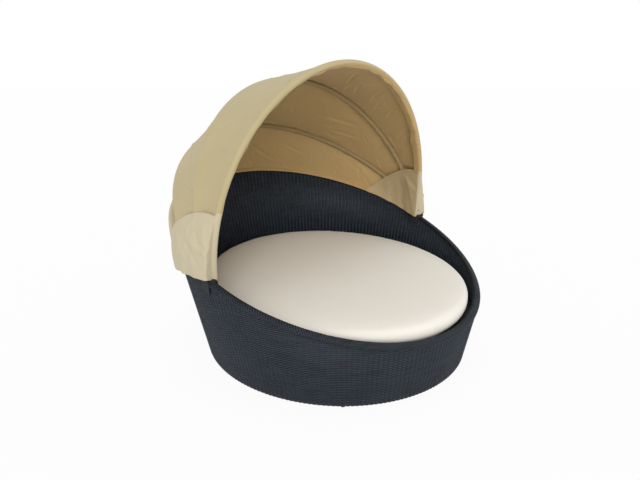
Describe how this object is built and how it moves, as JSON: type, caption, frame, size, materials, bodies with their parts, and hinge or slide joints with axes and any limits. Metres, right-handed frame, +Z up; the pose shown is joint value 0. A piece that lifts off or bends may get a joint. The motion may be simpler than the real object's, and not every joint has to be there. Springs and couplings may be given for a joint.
{
  "type": "outdoor daybed with canopy",
  "caption": "Round woven tub daybed with a sloping rim, a thick seat cushion and a cloth canopy on bows that folds back over the rim.",
  "frame": {"origin": "on the floor, below the middle of the overall box", "axes": "+Z up, -Y towards the low open front, +X to the right of someone who faces the open front looking in"},
  "size_m": [1.7702, 1.7754, 1.4889],
  "materials": {
    "frame_steel": "matt black powder coat",
    "zinc_steel": "zinc plated",
    "wicker": "flat black resin strand with a slight sheen",
    "black_plastic": "moulded, matt",
    "canopy_fabric": "khaki woven canvas",
    "cushion_fabric": "off-white woven cloth",
    "foam": "open-cell foam"
  },
  "bodies": {
    "basket": {"base_ring": "frame_steel", "rim_ring": "frame_steel", "deck_ring": "frame_steel", "rib_1": "frame_steel", "rib_2": "frame_steel", "rib_3": "frame_steel", "rib_4": "frame_steel", "rib_5": "frame_steel", "rib_6": "frame_steel", "rib_7": "frame_steel", "rib_8": "frame_steel", "deck_bar_1": "frame_steel", "deck_bar_2": "frame_steel", "deck_bar_3": "frame_steel", "deck_bar_4": "frame_steel", "deck_panel": "wicker", "outer_weave": "wicker", "inner_weave": "wicker", "rim_wrap": "wicker", "foot_1": "black_plastic", "foot_2": "black_plastic", "foot_3": "black_plastic", "foot_4": "black_plastic", "pivot_bracket_right": "frame_steel", "pivot_bracket_left": "frame_steel", "bracket_rivet_right": "zinc_steel", "bracket_rivet_left": "zinc_steel", "pivot_pin_right": "zinc_steel", "pivot_pin_left": "zinc_steel", "pivot_nut_right": "zinc_steel", "pivot_nut_left": "zinc_steel", "pivot_spacer_right_1": "black_plastic", "pivot_spacer_right_2": "black_plastic", "pivot_spacer_left_1": "black_plastic", "pivot_spacer_left_2": "black_plastic", "bow_rear": "frame_steel", "rear_bow_clip_1": "zinc_steel", "rear_bow_clip_2": "zinc_steel", "rear_bow_clip_3": "zinc_steel", "canopy_skirt": "canopy_fabric"},
    "cushion": {"cushion_cover": "cushion_fabric", "cushion_foam": "foam", "cushion_zip": "black_plastic"},
    "third_bow": {"bow_third": "frame_steel", "third_bow_sleeve": "canopy_fabric", "canopy_rear_gore": "canopy_fabric", "corner_patch_right": "canopy_fabric", "corner_patch_left": "canopy_fabric", "corner_lining_right": "canopy_fabric", "corner_lining_left": "canopy_fabric"},
    "second_bow": {"bow_second": "frame_steel", "second_bow_sleeve": "canopy_fabric", "canopy_middle_gore": "canopy_fabric"},
    "front_bow": {"bow_front": "frame_steel", "canopy_front_hem": "canopy_fabric", "canopy_front_gore": "canopy_fabric"}
  },
  "joints": [
    {"name": "canopy_fold", "type": "hinge", "parent": "basket", "child": "third_bow", "pos_m": [0, -0.03801, 0.626], "axis": [-1, 0, 0], "range_deg": [0, 16.1], "deforming": ["canopy_rear_gore", "corner_patch_right", "corner_patch_left", "corner_lining_right", "corner_lining_left"]},
    {"name": "second_bow_fold", "type": "hinge", "parent": "third_bow", "child": "second_bow", "pos_m": [0, -0.03801, 0.626], "axis": [-1, 0, 0], "range_deg": [0, 28.2], "deforming": ["canopy_middle_gore"]},
    {"name": "front_bow_fold", "type": "hinge", "parent": "second_bow", "child": "front_bow", "pos_m": [0, -0.03801, 0.626], "axis": [-1, 0, 0], "range_deg": [0, 27], "deforming": ["canopy_front_gore"]},
    {"name": "cushion_lift", "type": "slide", "parent": "basket", "child": "cushion", "axis": [0, 0, 1], "range_m": [0, 0.25]}
  ],
  "couplings": [
    {"joint": "second_bow_fold", "follows": "canopy_fold", "ratio": 1.7515},
    {"joint": "front_bow_fold", "follows": "canopy_fold", "ratio": 1.677}
  ]
}
